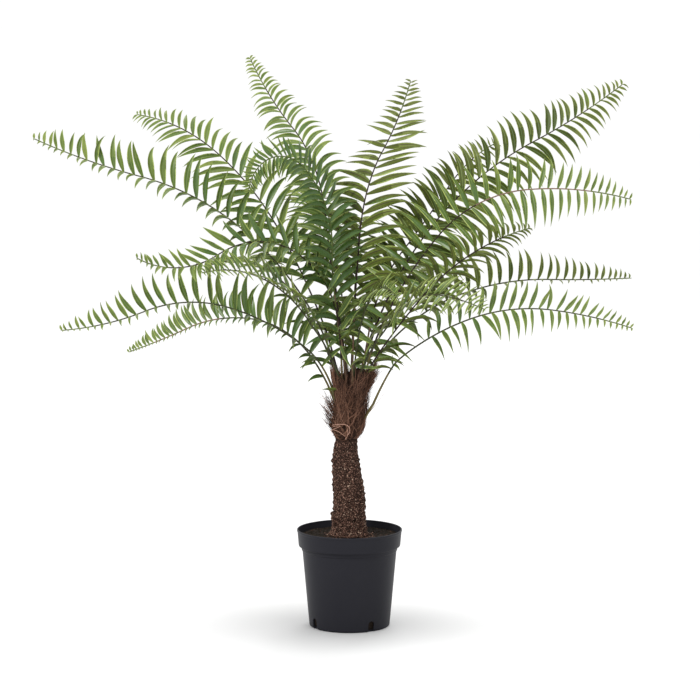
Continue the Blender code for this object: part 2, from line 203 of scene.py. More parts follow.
def closedRows(points, first, last):
    # a body of closed rows, with a fan round one more point at each end
    rows, sides = points.shape[:2]
    side = np.arange(sides)
    following = (side + 1) % sides
    end = (rows - 1) * sides
    middle = np.full(sides, rows * sides)
    fans = np.vstack((
        np.stack((middle, following, side), axis=-1),
        np.stack((middle + 1, end + side, end + following), axis=-1),
    ))
    points = np.vstack((points.reshape(-1, 3), [first, last]))
    return points, [(gridFaces(rows, sides), 0), (fans, 0)]


def turned(outline, sides):
    # a lathe from (radius, height) points that begin and end on the axis
    angle = np.linspace(0, tau, sides, endpoint=False)
    radius, height = np.array(outline[1:-1]).T[:, :, None]
    ends = [(0, 0, outline[end][1]) for end in (0, -1)]
    return closedRows(polar(radius, angle, height), *ends)


def spikeGroups(kinds, mirrored):
    # faces of many spikes, each of closed rows and a tip; kinds is by spike, row and side
    count, rows, sides = kinds.shape
    side = np.arange(sides)
    end = (rows - 1) * sides
    tips = np.stack((end + side, end + (side + 1) % sides, np.full(sides, rows * sides)), axis=-1)
    start = np.arange(count)[:, None, None] * (rows * sides + 1)
    groups = []
    for faces, kind in (
        (gridFaces(rows, sides), kinds[:, :-1]),
        (tips, kinds[:, -1]),
        (side[None, ::-1], kinds[:, 0, 1]),
    ):
        faced = np.where(mirrored[:, None, None], faces[:, ::-1], faces) + start
        groups.append((faced.reshape(-1, faces.shape[1]), kind.ravel()))
    return groups


def tubePiece(name, paths, radii, kinds, finishes, sides=3):
    # joined tubes along paths (step, tube), each tapering to a point
    paths, radii = paths.swapaxes(0, 1), radii.T
    count, steps = radii.shape
    along = unit(np.gradient(paths, axis=1))
    hint = np.where(np.abs(along[:, :1, 2:3]) > 0.8, np.array((1, 0, 0)), up)
    across = unit(np.cross(along, np.broadcast_to(hint, along.shape)))
    other = np.cross(along, across)
    angle = np.linspace(0, tau, sides, endpoint=False)[:, None]
    spread = across[:, :, None] * np.cos(angle) + other[:, :, None] * np.sin(angle)
    rings = paths[:, :-1, None] + spread[:, :-1] * radii[:, :-1, None, None]
    points = np.concatenate((rings.reshape(count, -1, 3), paths[:, -1:]), axis=1)
    kinds = np.broadcast_to(kinds.reshape(count, -1, 1), (count, steps - 1, sides))
    groups = spikeGroups(kinds, np.zeros(count, dtype=bool))
    buildPiece(name, points.reshape(-1, 3), groups, finishes)


# Camera and studio

studio = dict(
    lens=142.7,
    sensorWidth=36,
    cameraAt=(0.0008, -4.5, 1.01),
    pitch=83,
    floorRadius=160,
    floorSides=96,
    # paper tones by distance from the pot: darker near its foot, a painted contact shadow
    paintedShadowTones=[
        (0.17, 0.76), (0.23, 0.77), (0.3, 0.8), (0.36, 0.83),
        (0.43, 0.87), (0.52, 0.92), (0.66, 0.97),
    ],
    worldStrength=1.05,
    lamps=(
        # name, place, aim, size, power, colour
        ("keyLight", (-2.2, -2.6, 3.4), (0, 0, 0.55), 0.9, 150, (1, 0.99, 0.97)),
        ("fillLight", (2.6, -2.4, 2), (0, 0, 0.5), 2.2, 14, (0.96, 0.98, 1)),
        ("backLight", (0.6, 2.4, 3), (0, 0, 0.6), 2, 40, (1, 1, 1)),
    ),
)


def setCamera():
    camera = placed("studioCamera", bpy.data.cameras.new("studioCamera"))
    camera.data.lens = studio["lens"]
    camera.data.sensor_width = studio["sensorWidth"]
    camera.location = studio["cameraAt"]
    camera.rotation_euler = (radians(studio["pitch"]), 0, 0)
    scene.camera = camera
    scene.view_settings.view_transform = "Standard"


def setLight(name, at, aim, size, power, colour):
    lamp = placed(name, bpy.data.lights.new(name, "AREA"))
    lamp.data.shape = "DISK"
    lamp.data.size = size
    lamp.data.energy = power
    lamp.data.color = colour
    lamp.location = at
    lamp.rotation_euler = (Vector(aim) - Vector(at)).to_track_quat("-Z", "Y").to_euler()
    return lamp


def setStage():
    world = bpy.data.worlds.new("studioWorld")
    world.use_nodes = True
    sky = world.node_tree.nodes["Background"].inputs
    sky["Color"].default_value = (1, 1, 1, 1)
    sky["Strength"].default_value = studio["worldStrength"]
    scene.world = world
    sides = studio["floorSides"]
    angles = tau * np.arange(sides) / sides
    mesh = bpy.data.meshes.new("studioFloor")
    mesh.from_pydata(polar(studio["floorRadius"], angles, 0).tolist(), [], [tuple(range(sides))])
    paper = Finish("studioPaper", 0.1)
    # the paper's colour darkens towards the pot's foot: painted contact shadow
    flattened = paper.scaled((2, 3, 0))
    reach = paper.node("VectorMath", {"operation": "LENGTH"}, {0: flattened}, out=1)
    shadowedPaper = paper.ramp(reach, studio["paintedShadowTones"])
    shadowedPaper = paper.blend(paper.cloud(2) * 0.01, shadowedPaper, (0.9, 0.9, 0.9))
    mesh.materials.append(paper.wear(shadowedPaper, 0.9))
    floor = placed("studioFloor", mesh)
    key, _, _ = [setLight(*lamp) for lamp in studio["lamps"]]
    unlit = bpy.data.collections.new("unlitByKey")  # the key casts no plant shadow on the paper
    unlit.objects.link(floor)
    key.light_linking.receiver_collection = unlit
    unlit.collection_objects[0].light_linking.link_state = "EXCLUDE"


setCamera()
setStage()
print("camera and studio stand")


# Nursery pot

pot = dict(
    height=0.161,
    rimRadius=0.0865,
    rimDepth=0.028,
    rimSlope=0.0028,
    stepIn=0.0042,
    beadDepth=0.0065,
    beadIn=0.0012,
    footRadius=0.0664,
    footRound=0.004,
    wall=0.0021,
    sides=224,
    filletSteps=5,
    notchWidth=0.011,
    notchHeight=0.018,
    notchReach=0.012,
    notchSteps=18,
    notchCount=4,
    notchTurn=-58,
    crease=38,
)


def wallRadius(height):
    step = pot["height"] - pot["rimDepth"]
    top = pot["rimRadius"] - pot["rimSlope"] - pot["stepIn"]
    share = (height - pot["footRound"]) / (step - pot["footRound"])
    return pot["footRadius"] + (top - pot["footRadius"]) * share


def rounded(corners):
    # an outline whose corners (radius, height, fillet) are rounded off
    outline = [corners[0][:2]]
    for before, corner, after in zip(corners, corners[1:], corners[2:]):
        here = Vector(corner[:2])
        back = Vector(before[:2]) - here
        on = Vector(after[:2]) - here
        reach = min(corner[2], back.length * 0.45, on.length * 0.45)
        start = here + back.normalized() * reach
        end = here + on.normalized() * reach
        for i in range(pot["filletSteps"] + 1):
            part = i / pot["filletSteps"]
            point = start * (1 - part) ** 2 + here * (2 * part * (1 - part)) + end * part**2
            outline.append(tuple(point))
    return outline + [corners[-1][:2]]


def potOutline():
    top, rim, foot, wall = (pot[part] for part in ("height", "rimRadius", "footRadius", "wall"))
    step = top - pot["rimDepth"]
    bead = step - pot["beadDepth"]
    rimFoot = rim - pot["rimSlope"]
    return rounded((
        (0, 0, 0),
        (foot - 0.0002, 0, 0.0035),
        (wallRadius(bead) - pot["beadIn"], bead - 0.0006, 0.0006),
        (wallRadius(bead), bead + 0.0002, 0.0004),
        (wallRadius(step), step, 0.0012),
        (rimFoot, step + 0.0006, 0.0009),
        (rim - 0.0007, top - 0.0042, 0.0012),
        (rim, top - 0.003, 0.0008),
        (rim, top, 0.001),
        (rim - wall, top, 0.001),
        (rim - wall, top - 0.0035, 0.0015),
        (rimFoot - wall, step + wall, 0.0012),
        (wallRadius(step) - wall - pot["beadIn"], step - wall, 0.0012),
        (foot - wall, pot["footRound"] + wall, 0.003),
        (foot - pot["footRound"], wall, 0.002),
        (0, wall, 0),
    ))


def notchCutter():
    # the drainage notches as one cutting body
    half, arc, foot = pot["notchWidth"] / 2, pot["notchSteps"], pot["footRound"]
    outline = [(-half, -foot), (half, -foot)]
    for i in range(arc + 1):
        turn = pi * i / arc
        outline.append((half * cos(turn), pot["notchHeight"] - half + half * sin(turn)))
    points, faces = [], []
    size = len(outline)
    for i in range(pot["notchCount"]):
        angle = radians(pot["notchTurn"]) + tau * i / pot["notchCount"]
        outward = Vector((cos(angle), sin(angle), 0))
        across = Vector((-sin(angle), cos(angle), 0))
        start = len(points)
        for reach in (pot["footRadius"] - foot * 0.9, pot["footRadius"] + pot["notchReach"]):
            points += [outward * reach + across * x + Vector((0, 0, z)) for x, z in outline]
        for j in range(size):
            k = (j + 1) % size
            faces.append((start + j, start + k, start + size + k, start + size + j))
        faces.append(tuple(range(start + size - 1, start - 1, -1)))
        faces.append(tuple(range(start + size, start + 2 * size)))
    mesh = bpy.data.meshes.new("notchCutter")
    mesh.from_pydata(points, [], faces)
    return placed("notchCutter", mesh)


def potPlastic():
    finish = Finish("nurseryPotPlastic", 0.13)
    flow = finish.cloud(9, 4, 0.6, 0.25)
    dust = finish.cloud(38, 6, 0.7)
    colour = finish.blend(flow, (0.0108, 0.0108, 0.015), (0.015, 0.015, 0.0195))
    scuff = finish.ramp(dust, [(0.6, 0), (0.74, 0.55)])
    colour = finish.blend(scuff, colour, (0.022, 0.022, 0.026))
    height = finish.cloud(1400, 2, 0.5) * 0.55 + flow * 1.6
    return finish.wear(colour, 0.4 + flow * 0.16 + scuff * 0.2, height, 0.0004, 0.22)


def makePot():
    points, groups = turned(potOutline(), pot["sides"])
    piece = buildPiece("nurseryPot", points, groups, [potPlastic()], ["pot"])
    cutter = notchCutter()
    cut = piece.modifiers.new("drainageNotches", "BOOLEAN")
    cut.operation = "DIFFERENCE"
    cut.solver = "EXACT"
    cut.object = cutter
    graph = bpy.context.evaluated_depsgraph_get()
    carved = bpy.data.meshes.new_from_object(piece.evaluated_get(graph))
    piece.modifiers.remove(cut)
    piece.data = carved
    carved.set_sharp_from_angle(angle=radians(pot["crease"]))
    bpy.data.objects.remove(cutter)


makePot()


# Crumbed filling

filling = dict(
    level=0.1498,
    swell=0.00288,
    clear=0.0006,
    sides=180,
    rows=46,
    crumbs=5200,
    crumbShape=(0.0007, 0.003, 0.55),  # smallest, largest, flatness
    shedRadius=0.04,
    peat=((0.006, 0.004, 0.003), (0.022, 0.015, 0.01), 420),
    crumbTones=dict(
        crumbDark=((0.01, 0.005, 0.004), (0.03, 0.016, 0.011)),
        crumbBrown=((0.062, 0.032, 0.024), (0.132, 0.071, 0.051)),
        crumbRust=((0.175, 0.09, 0.064), (0.325, 0.188, 0.142)),
        # pale tan chips: partly real pale crumbs, partly painted glints
        crumbTanGlint=((0.33, 0.21, 0.145), (0.52, 0.38, 0.29)),
        crumbPeat=((0.008, 0.006, 0.004), (0.026, 0.02, 0.013)),
    ),
)

# an eight-faced chip
chipPoints = np.array([(1, 0, 0), (-1, 0, 0), (0, 1, 0), (0, -1, 0), (0, 0, 1), (0, 0, -1)])
chipFaces = np.array([
    (0, 2, 4), (2, 1, 4), (1, 3, 4), (3, 0, 4), (2, 0, 5), (1, 2, 5), (3, 1, 5), (0, 3, 5)
])


def crumbs(places, outward, smallest, largest, flatness):
    # uneven chips, each turned its own way and pressed along outward
    count = len(places)
    size = smallest * (largest / smallest) ** (spray.random(count) ** 1.7)
    body = chipPoints * uniform(0.55, 1.35, (count, 6, 3))
    body += uniform(-0.25, 0.25, (count, 6, 3))
    first = unit(np.cross(outward, gauss(size=(count, 3))))
    second = np.cross(outward, first)
    stretch = uniform(0.9, 2, count)
    points = (
        first[:, None] * (body[:, :, :1] * stretch[:, None, None])
        + second[:, None] * body[:, :, 1:2]
        + outward[:, None] * (body[:, :, 2:] * flatness)
    )
    return places[:, None] + points * (size[:, None, None] / 2)


def crumbPiece(name, chips, kinds):
    faces = chipFaces + np.arange(len(chips))[:, None, None] * len(chipPoints)
    groups = [(faces.reshape(-1, 3), np.repeat(kinds, len(chipFaces)))]
    buildPiece(name, chips.reshape(-1, 3), groups, crumbFinishes, smooth=False)


def crumbFinish(name, dark, light, scale=300):
    finish = Finish(name, 0.12)
    patch = finish.cloud(scale, 4, 0.65)
    fine = finish.cloud(scale * 5, 3, 0.6)
    colour = finish.mottled(patch, 0.32, 0.68, dark, light)
    return finish.wear(colour, 0.8 + fine * 0.15, fine, 0.0006, 0.7)


def fillingHeight(x, y):
    lumps = noise.noise(Vector((x, y, 0)) * 60) * 0.6
    lumps += noise.noise(Vector((x, y, 2)) * 180) * 0.4
    return filling["level"] + filling["swell"] * lumps


def makeFilling():
    step, foot, wall = pot["height"] - pot["rimDepth"], pot["footRadius"], pot["wall"]
    clear = filling["clear"]
    inner = wallRadius(step) - wall - pot["beadIn"] - clear
    rim = pot["rimRadius"] - pot["rimSlope"] - wall - clear
    sides, rows, level = filling["sides"], filling["rows"], filling["level"]
    below = [
        (foot - pot["footRound"] - clear, wall + clear),
        (foot - wall - clear * 1.5, pot["footRound"] + wall + clear),
        (inner, step - wall),
        (rim, step + wall + clear * 2),
    ]
    top = [(rim * (1 - i / rows), level) for i in range(rows)]
    points, groups = turned([(0, wall + clear)] + below + top + [(0, level)], sides)
    for point in points[len(below) * sides:]:
        if point[2] > step:
            point[2] = fillingHeight(point[0], point[1])
    peat = crumbFinish("fillingPeat", *filling["peat"])
    buildPiece("potFilling", points, groups, [peat], ["pot_filling"])

    count = filling["crumbs"]
    radius = (rim - 0.0015) * np.sqrt(uniform(0.09, 1, count))
    places = polar(radius, uniform(0, tau, count), 0)
    for place in places:
        place[2] = fillingHeight(place[0], place[1]) + 0.0002
    tilt = np.vstack((gauss(0, 0.35, (2, count)), np.ones(count))).T
    chips = crumbs(places, unit(tilt), *filling["crumbShape"])
    shed = radius < filling["shedRadius"] + 0.006 * spray.random(count)  # brown only near the trunk
    kinds = np.where(shed, spray.choice(4, count, p=(0.5, 0.3, 0.16, 0.04)), 4)
    kinds = np.where(~shed & (spray.random(count) < 0.05), 1, kinds)
    crumbPiece("fillingCrumbs", chips, kinds)


crumbFinishes = [crumbFinish(name, *look) for name, look in filling["crumbTones"].items()]
makeFilling()


# Trunk

trunk = dict(
    rings=(
        # height, radius, drift
        (0, 0.0318, -0.001), (0.006, 0.0298, -0.001), (0.015, 0.0274, -0.0003),
        (0.024, 0.0277, -0.0012), (0.03, 0.0288, -0.002), (0.0365, 0.0282, -0.0015),
        (0.0385, 0.025, -0.0006), (0.0405, 0.025, -0.0006), (0.0425, 0.0268, -0.0003),
        (0.046, 0.0266, -0.0002), (0.065, 0.0254, -0.0003), (0.084, 0.0252, -0.0024),
        (0.104, 0.0231, -0.0047), (0.123, 0.0225, -0.0063), (0.143, 0.0188, -0.0066),
        (0.158, 0.0176, -0.005), (0.16, 0.0174, -0.0048),
    ),
    foot=0.1513,
    sides=250,
    levels=210,
    coatRadius=0.026,
    lumpDepth=0.0019,
    grainDepth=0.0008,
    windPitch=0.0098,
    windDepth=0.0007,
    crumbs=15000,
    crumbShape=(0.0007, 0.0021, 0.6),
)


def coatSpot(height, angle):
    radius = trunk["coatRadius"]
    return Vector((cos(angle) * radius, sin(angle) * radius, height))


def trunkRadius(height, angle):
    # the wound core and the coarse lumps of its coat
    radius, _ = shapeAt(trunk["rings"], height)
    ease = min(1, (trunk["rings"][-1][0] - height) / 0.01, 0.3 + height / 0.01)
    wander = noise.noise(Vector((cos(angle), sin(angle), height * 60))) * 3.4
    wind = cos(tau * height / trunk["windPitch"] + angle + wander)
    spot = coatSpot(height, angle)
    lumps = noise.noise(spot * 150) + 0.7 * noise.noise(spot * 420)
    return radius + (trunk["windDepth"] * wind + trunk["lumpDepth"] * lumps) * ease


def trunkCoat():
    coat = Finish("trunkCoat", 0.12)
    cell = coat.node("TexVoronoi", {}, {"Vector": coat.place(), "Scale": 620})
    speck = coat.cloud(900, 3, 0.6)
    colour = coat.mottled(
        coat.cloud(45, 5, 0.6), 0.35, 0.66, (0.026, 0.012, 0.008), (0.056, 0.028, 0.019))
    # darker where the cells meet, in the hollows between the grains: painted shade
    colour = coat.mottled(cell, 0.1, 0.62, colour, (0.008, 0.004, 0.003), 0.9)
    colour = coat.mottled(speck, 0.58, 0.7, colour, (0.2, 0.112, 0.076), 0.8)
    return coat.wear(colour, 0.82 + speck * 0.14, speck + (1 - cell) * 0.8, 0.0006, 0.8)


def makeTrunk():
    rings, foot = trunk["rings"], trunk["foot"]
    top = rings[-1][0]
    angles = tau * np.arange(trunk["sides"]) / trunk["sides"]
    rows = []
    for height in top * np.arange(trunk["levels"] + 1) / trunk["levels"]:
        grains = [noise.voronoi(coatSpot(height, angle) * 480)[0][0] for angle in angles]
        radius = np.array([trunkRadius(height, angle) for angle in angles])
        radius += trunk["grainDepth"] * (0.5 - np.array(grains))
        rows.append(polar(radius, angles, foot + height, shapeAt(rings, height)[1]))
    ends = (rings[0][2], 0, foot), (rings[-1][2], 0, foot + top)
    points, groups = closedRows(np.array(rows), *ends)
    buildPiece("trunkBark", points, groups, [trunkCoat()], ["trunk"])

    count = trunk["crumbs"]
    heights = (top - 0.004) * spray.random(count) ** 1.3 + 0.001
    angles = uniform(0, tau, count)
    radius = np.array([trunkRadius(*spot) for spot in zip(heights, angles)]) + 0.0001
    places = polar(radius, angles, foot + heights, shapeAt(rings, heights)[1])
    outward = unit(polar(1, angles, 0) + gauss(0, 0.35, (count, 3)))
    chips = crumbs(places, outward, *trunk["crumbShape"])
    chance = spray.random(count)
    share = heights / top  # darker and plainer towards the top
    limits = [chance < at + more * share for at, more in ((0.25, 0.13), (0.53, 0.13), (0.91, 0.06))]
    # kind 3 is the pale tan chips, partly real crumbs and partly painted glints, commoner low down
    crumbPiece("trunkCrumbs", chips, np.select(limits, (0, 1, 2), 3))


makeTrunk()


# Fibre collar

collar = dict(
    outer=(
        # height, radius and drift that the loose fibres fill
        (0, 0.0178, -0.0048), (0.006, 0.0222, -0.004), (0.014, 0.0258, -0.0028),
        (0.026, 0.0272, -0.0004), (0.042, 0.0286, 0.003), (0.06, 0.0296, 0.0044),
        (0.078, 0.032, 0.004), (0.1, 0.037, 0.006), (0.124, 0.042, 0.0084),
    ),
    core=(
        # the matted middle
        (0, 0.0168, -0.0048), (0.008, 0.0208, -0.0042), (0.02, 0.0232, -0.0034),
        (0.04, 0.0226, -0.0024), (0.06, 0.0222, -0.0018), (0.08, 0.025, 0.0006),
        (0.124, 0.0365, 0.0068),
    ),
    coreSides=120,
    coreRows=26,
    coreWall=0.0022,
    base=0.3116,
    floor=0.04,
    lip=0.1215,
    slitAt=268,
    slitDepth=0.017,
    slitWidth=0.42,
    locks=480,
    strandsPerLock=4,
    steps=11,
    strandRadius=0.00035,
    veil=120,
    flyaways=190,
    longHairs=(
        # angle, start, length, rise, bend, thickness, tone
        (182, 0.052, 0.044, 40, 6, 0.00036, 1),
        (190, 0.066, 0.042, 56, 4, 0.00034, 1),
        (-12, 0.04, 0.048, 50, 6, 0.00052, 2),
        (176, 0.03, 0.046, 48, 10, 0.0004, 1),
    ),
    # short ends: ranges, but a mean and a spread for bend and swing
    tongue=dict(
        count=90, angle=(-34, 12), start=(0.076, 0.1), length=(0.012, 0.032), rise=(46, 72),
        bend=(0, 12), swing=(0, 0.25), inset=0.005, thick=(0.00028, 0.0006), thins=0.6,
        kinds=(0.5, 0.38, 0.12),
    ),
    neckEnds=dict(
        count=150, angle=(0, 360), start=(0, 0.012), length=(0.003, 0.009), rise=(-75, 60),
        bend=(-20, 25), swing=(0, 0.8), inset=0.0015, thick=(0.00018, 0.00045), thins=0.7,
        kinds=(0.45, 0.4, 0.15),
    ),
    strandTones=dict(
        coirDark=((0.022, 0.011, 0.007), (0.052, 0.025, 0.016)),
        coirBrown=((0.078, 0.037, 0.022), (0.145, 0.071, 0.045)),
        coirRust=((0.165, 0.08, 0.05), (0.3, 0.16, 0.108)),
        coirCopper=((0.5, 0.27, 0.19), (0.76, 0.46, 0.35)),
    ),
    loops=(
        # across and up from the axis, half width, half height, start, sweep, tilt, thickness, tone
        (-0.0128, 0.0165, 0.016, 0.0112, 188, -214, -0.24, 0.00046, 3),
        (-0.0175, 0.0165, 0.012, 0.005, 205, -150, 0.5, 0.00044, 3),
        (-0.0185, 0.018, 0.0085, 0.007, 160, -130, 0.3, 0.00038, 3),
        (-0.007, 0.011, 0.0075, 0.0115, 55, -105, -0.05, 0.00036, 3),
        (-0.015, 0.01, 0.013, 0.0036, 150, -130, -0.4, 0.00038, 3),
        (-0.015, 0.016, 0.006, 0.007, 30, -170, 0.3, 0.00032, 2),
        (-0.0085, 0.011, 0.003, 0.008, 120, -150, 0.2, 0.00032, 2),
    ),
    loopSteps=30,
)

strandParts = np.linspace(0, 1, collar["steps"])[:, None]


def collarTop(angle):
    # the ragged lip: a high lobe at each side of a slit at the front
    lip = collar["lip"] + 0.004 * np.cos(angle - radians(15)) + 0.004 * np.sin(5 * angle + 1)
    lip = lip + 0.0025 * np.sin(13 * angle + 0.4) + 0.0015 * np.sin(29 * angle)
    aside = np.remainder(angle - radians(collar["slitAt"]) + pi, tau) - pi
    return lip - collar["slitDepth"] * np.exp(-((aside / collar["slitWidth"]) ** 2))


def collarBetween(height, out):
    # radius and drift, a share of the way from the core out to the loose edge
    inner, innerDrift = shapeAt(collar["core"], height)
    outer, outerDrift = shapeAt(collar["outer"], height)
    return inner + (outer - inner) * out, innerDrift + (outerDrift - innerDrift) * out


def strandFinish(name, dark, light):
    finish = Finish(name, 0.15)
    streak = finish.cloud(160, 3, 0.6, 0.35)
    fine = finish.cloud(1500, 2)
    return finish.wear(finish.blend(streak, dark, light), 0.62 + streak * 0.2, fine, 0.0002, 0.4)


def collarMat():
    mat = Finish("coirMat", 0.15)
    streak = mat.cloud(900, 4, 0.7, 0.1)
    colour = mat.mottled(streak, 0.36, 0.64, (0.01, 0.005, 0.004), (0.046, 0.023, 0.015))
    return mat.wear(colour, 0.9, streak, 0.0012, 1)


def collarCore():
    # a dark matted cup, inside and out, for the strands to stand round
    base, sides, floor = collar["base"], collar["coreSides"], collar["floor"]
    angles = tau * np.arange(sides) / sides
    lips = collarTop(angles) - 0.01 - 0.006 * spray.random(sides)
    rising = np.linspace(0, 1, collar["coreRows"] + 1)
    rows = []
    for wall, low, inset in ((rising, 0, 0), (rising[::-1], floor, collar["coreWall"])):
        for part in wall:
            height = low + part * (lips - low)
            radius, drift = shapeAt(collar["core"], height)
            spots = polar(3, angles, height * 60 + inset * 900)
            matted = np.array([noise.noise(Vector(spot)) for spot in spots])
            rows.append(polar(radius + (0.0012 * matted - inset), angles, base + height, drift))
    ends = [(shapeAt(collar["core"], low)[1], 0, base + low) for low in (0, floor)]
    points, groups = closedRows(np.array(rows), *ends)
    buildPiece("collarCore", points, groups, [collarMat()], ["fibre_collar"])


def collarStrands():
    # locks of fibre that lean and cross, from the matted core out to the loose edge
    locks, each = collar["locks"], collar["strandsPerLock"]
    count = locks * each
    part = strandParts

    def shared(values, spread):
        # a lock's value for each of its strands, give or take the spread
        return np.repeat(values, each) + gauss(0, spread, count)

    angle = shared(uniform(0, tau, locks), 0.1)
    start = np.abs(shared(0.001 + 0.094 * spray.random(locks) ** 1.15, 0.004))
    lean = shared(gauss(0, 0.46, locks), 0.2) - 0.42 * np.cos(angle) * np.sin(angle)
    lean = np.where(spray.random(count) < 0.36, gauss(0, 0.72, count), lean)  # some cross
    depth = shared(spray.beta(1.2, 3.6, locks), 0.06)
    toSides = np.where(spray.random(count) < 0.92, np.abs(np.cos(angle)) ** 0.7, 0)
    lip = collarTop(angle) + gauss(0, 0.007, count)
    length = np.minimum(lip - start, shared(uniform(0.018, 0.08, locks), 0.01)).clip(0.01)
    wave = uniform(0, tau, count)
    sway = np.abs(gauss(0, 0.055, count))
    beat = uniform(5, 15, count)
    flare = np.abs(gauss(0, 0.0014, count))
    height = start + length * part * np.cos(lean)
    above = np.clip((height - 0.028) / 0.022, 0, 1)
    out = np.clip(depth * (1.3 - 1.15 * toSides * above), 0.02, 1.1)  # few stand out at the sides
    radius, drift = collarBetween(height, out)
    rough = 0.0007 * np.sin(part * beat * 0.8 + 2 * wave)
    radius = radius + flare * part**2 + 0.0008 + rough
    turn = angle + np.sin(lean) * length * part / radius
    turn = turn + sway * (np.sin(part * beat + wave) - np.sin(wave))
    paths = polar(radius, turn, collar["base"] + height, drift)
    radii = collar["strandRadius"] * uniform(0.5, 1.8, count) * (1 - 0.7 * part**2)
    kinds = shared(spray.choice(3, locks, p=(0.38, 0.42, 0.2)).astype(float), 0.34)
    kinds = kinds.round().clip(0, 2).astype(int)
    depthShade = depth + gauss(0, 0.12, count)
    kinds = (kinds + (depthShade > 0.46) - (depthShade < 0.14)).clip(0, 2)  # outer fibres are paler and deep ones darker: painted shade within the collar
    kinds[spray.random(count) < 0.012] = 3
    tubePiece("collarStrands", paths, radii, kinds, strandFinishes)


def straying(angle, start, length, rise, bend, swing, inset, thick, thins):
    # hairs that leave the collar at a height and slope, curving as they go
    steps = collar["steps"]
    radius, drift = shapeAt(collar["outer"], start)
    spot = polar(radius - inset, angle, collar["base"] + start, drift)
    paths = [spot]
    for step in range(steps - 1):
        tilt = np.radians(rise) + np.radians(bend) * step / steps
        ahead = polar(np.cos(tilt), angle + swing, np.sin(tilt))
        spot = spot + ahead * (length / (steps - 1))[:, None]
        paths.append(spot)
    return np.array(paths), thick * (1 - thins * strandParts)


def ragged(ends):
    # short ends that all stray alike
    count = ends["count"]
    drawn = [uniform(*ends[part], count) for part in ("angle", "start", "length", "rise")]
    drawn += [gauss(*ends[part], count) for part in ("bend", "swing")]
    drawn[0] = np.radians(drawn[0])
    return straying(*drawn, ends["inset"], uniform(*ends["thick"], count), ends["thins"])


def collarVeil():
    # thin wavy fibres between the matted middle and the stem at its right
    count = collar["veil"]
    angle = np.radians(uniform(-50, 30, count))
    start = uniform(0.01, 0.06, count)
    length = np.minimum(uniform(0.025, 0.07, count), 0.112 - start)
    height = start + length * strandParts
    out = uniform(0.1, 1, count)
    out = out + 0.1 * np.sin(strandParts * 9 + uniform(0, tau, count))
    radius, drift = collarBetween(height, out)
    turn = angle + gauss(0, 0.16, count) * strandParts
    paths = polar(radius, turn, collar["base"] + height, drift)
    return paths, uniform(0.00012, 0.00026, count) * (1 - 0.5 * strandParts)


def collarHairs():
    # stray hairs, most of them to the left, and ragged ends at the lip and the neck
    count = collar["flyaways"]
    left = spray.random(count) < 0.72
    angle = np.where(left, gauss(pi * 1.02, 0.5, count), uniform(0, tau, count))
    start = np.where(left, uniform(0.002, 0.052, count), uniform(0.004, 0.06, count))
    length = np.where(left, uniform(0.018, 0.044, count), uniform(0.01, 0.03, count))
    rise = np.where(left, gauss(52, 7, count), gauss(72, 10, count))
    bend, swing = gauss(4, 12, count), gauss(0, 0.25, count)
    thick = uniform(0.0003, 0.00062, count)
    stray = straying(angle, start, length, rise, bend, swing, 0.003, thick, 0.55)
    strayKinds = spray.choice(4, count, p=(0.68, 0.26, 0.05, 0.01))
    angle, start, length, rise, bend, thick, longKinds = np.array(collar["longHairs"]).T
    long = straying(np.radians(angle), start, length, rise, bend, 0, 0.001, thick, 0.5)
    short = collar["tongue"], collar["neckEnds"]
    sets = [stray, long] + [ragged(ends) for ends in short] + [collarVeil()]
    veilKinds = spray.choice(3, collar["veil"], p=(0.6, 0.3, 0.1))
    endKinds = [spray.choice(3, ends["count"], p=ends["kinds"]) for ends in short]
    paths, radii = (np.concatenate(parts, axis=1) for parts in zip(*sets))
    kinds = np.concatenate((strayKinds, longKinds, *endKinds, veilKinds))
    tubePiece("collarHairs", paths, radii, kinds, strandFinishes)


def collarLoops():
    # a knot of coppery loops on the neck, front left
    part = np.linspace(0, 1, collar["loopSteps"])
    paths, radii, kinds = [], [], []
    for i, loop in enumerate(collar["loops"]):
        across, height, wide, tall, start, sweep, tilt, thick, kind = loop
        turn = np.radians(start + sweep * part)
        x = wide * np.cos(turn)
        z = tall * np.sin(turn) * (1 + 0.15 * np.sin(turn * 2 + i))
        flatX = across + x * cos(tilt) - z * sin(tilt)
        flatZ = (height + x * sin(tilt) + z * cos(tilt)).clip(-0.004)
        radius, drift = shapeAt(collar["outer"], flatZ.clip(0))
        radius = radius + 0.0012 + 0.0016 * np.sin(part * pi) + 0.0004 * i % 0.0016
        aside = (flatX / radius).clip(-0.96, 0.96)
        path = drift + radius * aside, -radius * np.sqrt(1 - aside**2), collar["base"] + flatZ
        paths.append(np.stack(path, axis=-1))
        radii.append(thick * (1 - 0.35 * part))
        kinds.append(kind)
    paths, radii = np.stack(paths, axis=1), np.stack(radii, axis=1)
    tubePiece("collarLoops", paths, radii, np.array(kinds), strandFinishes, 6)


strandFinishes = [strandFinish(name, *look) for name, look in collar["strandTones"].items()]
collarCore()
collarStrands()
collarHairs()
collarLoops()


# Crown

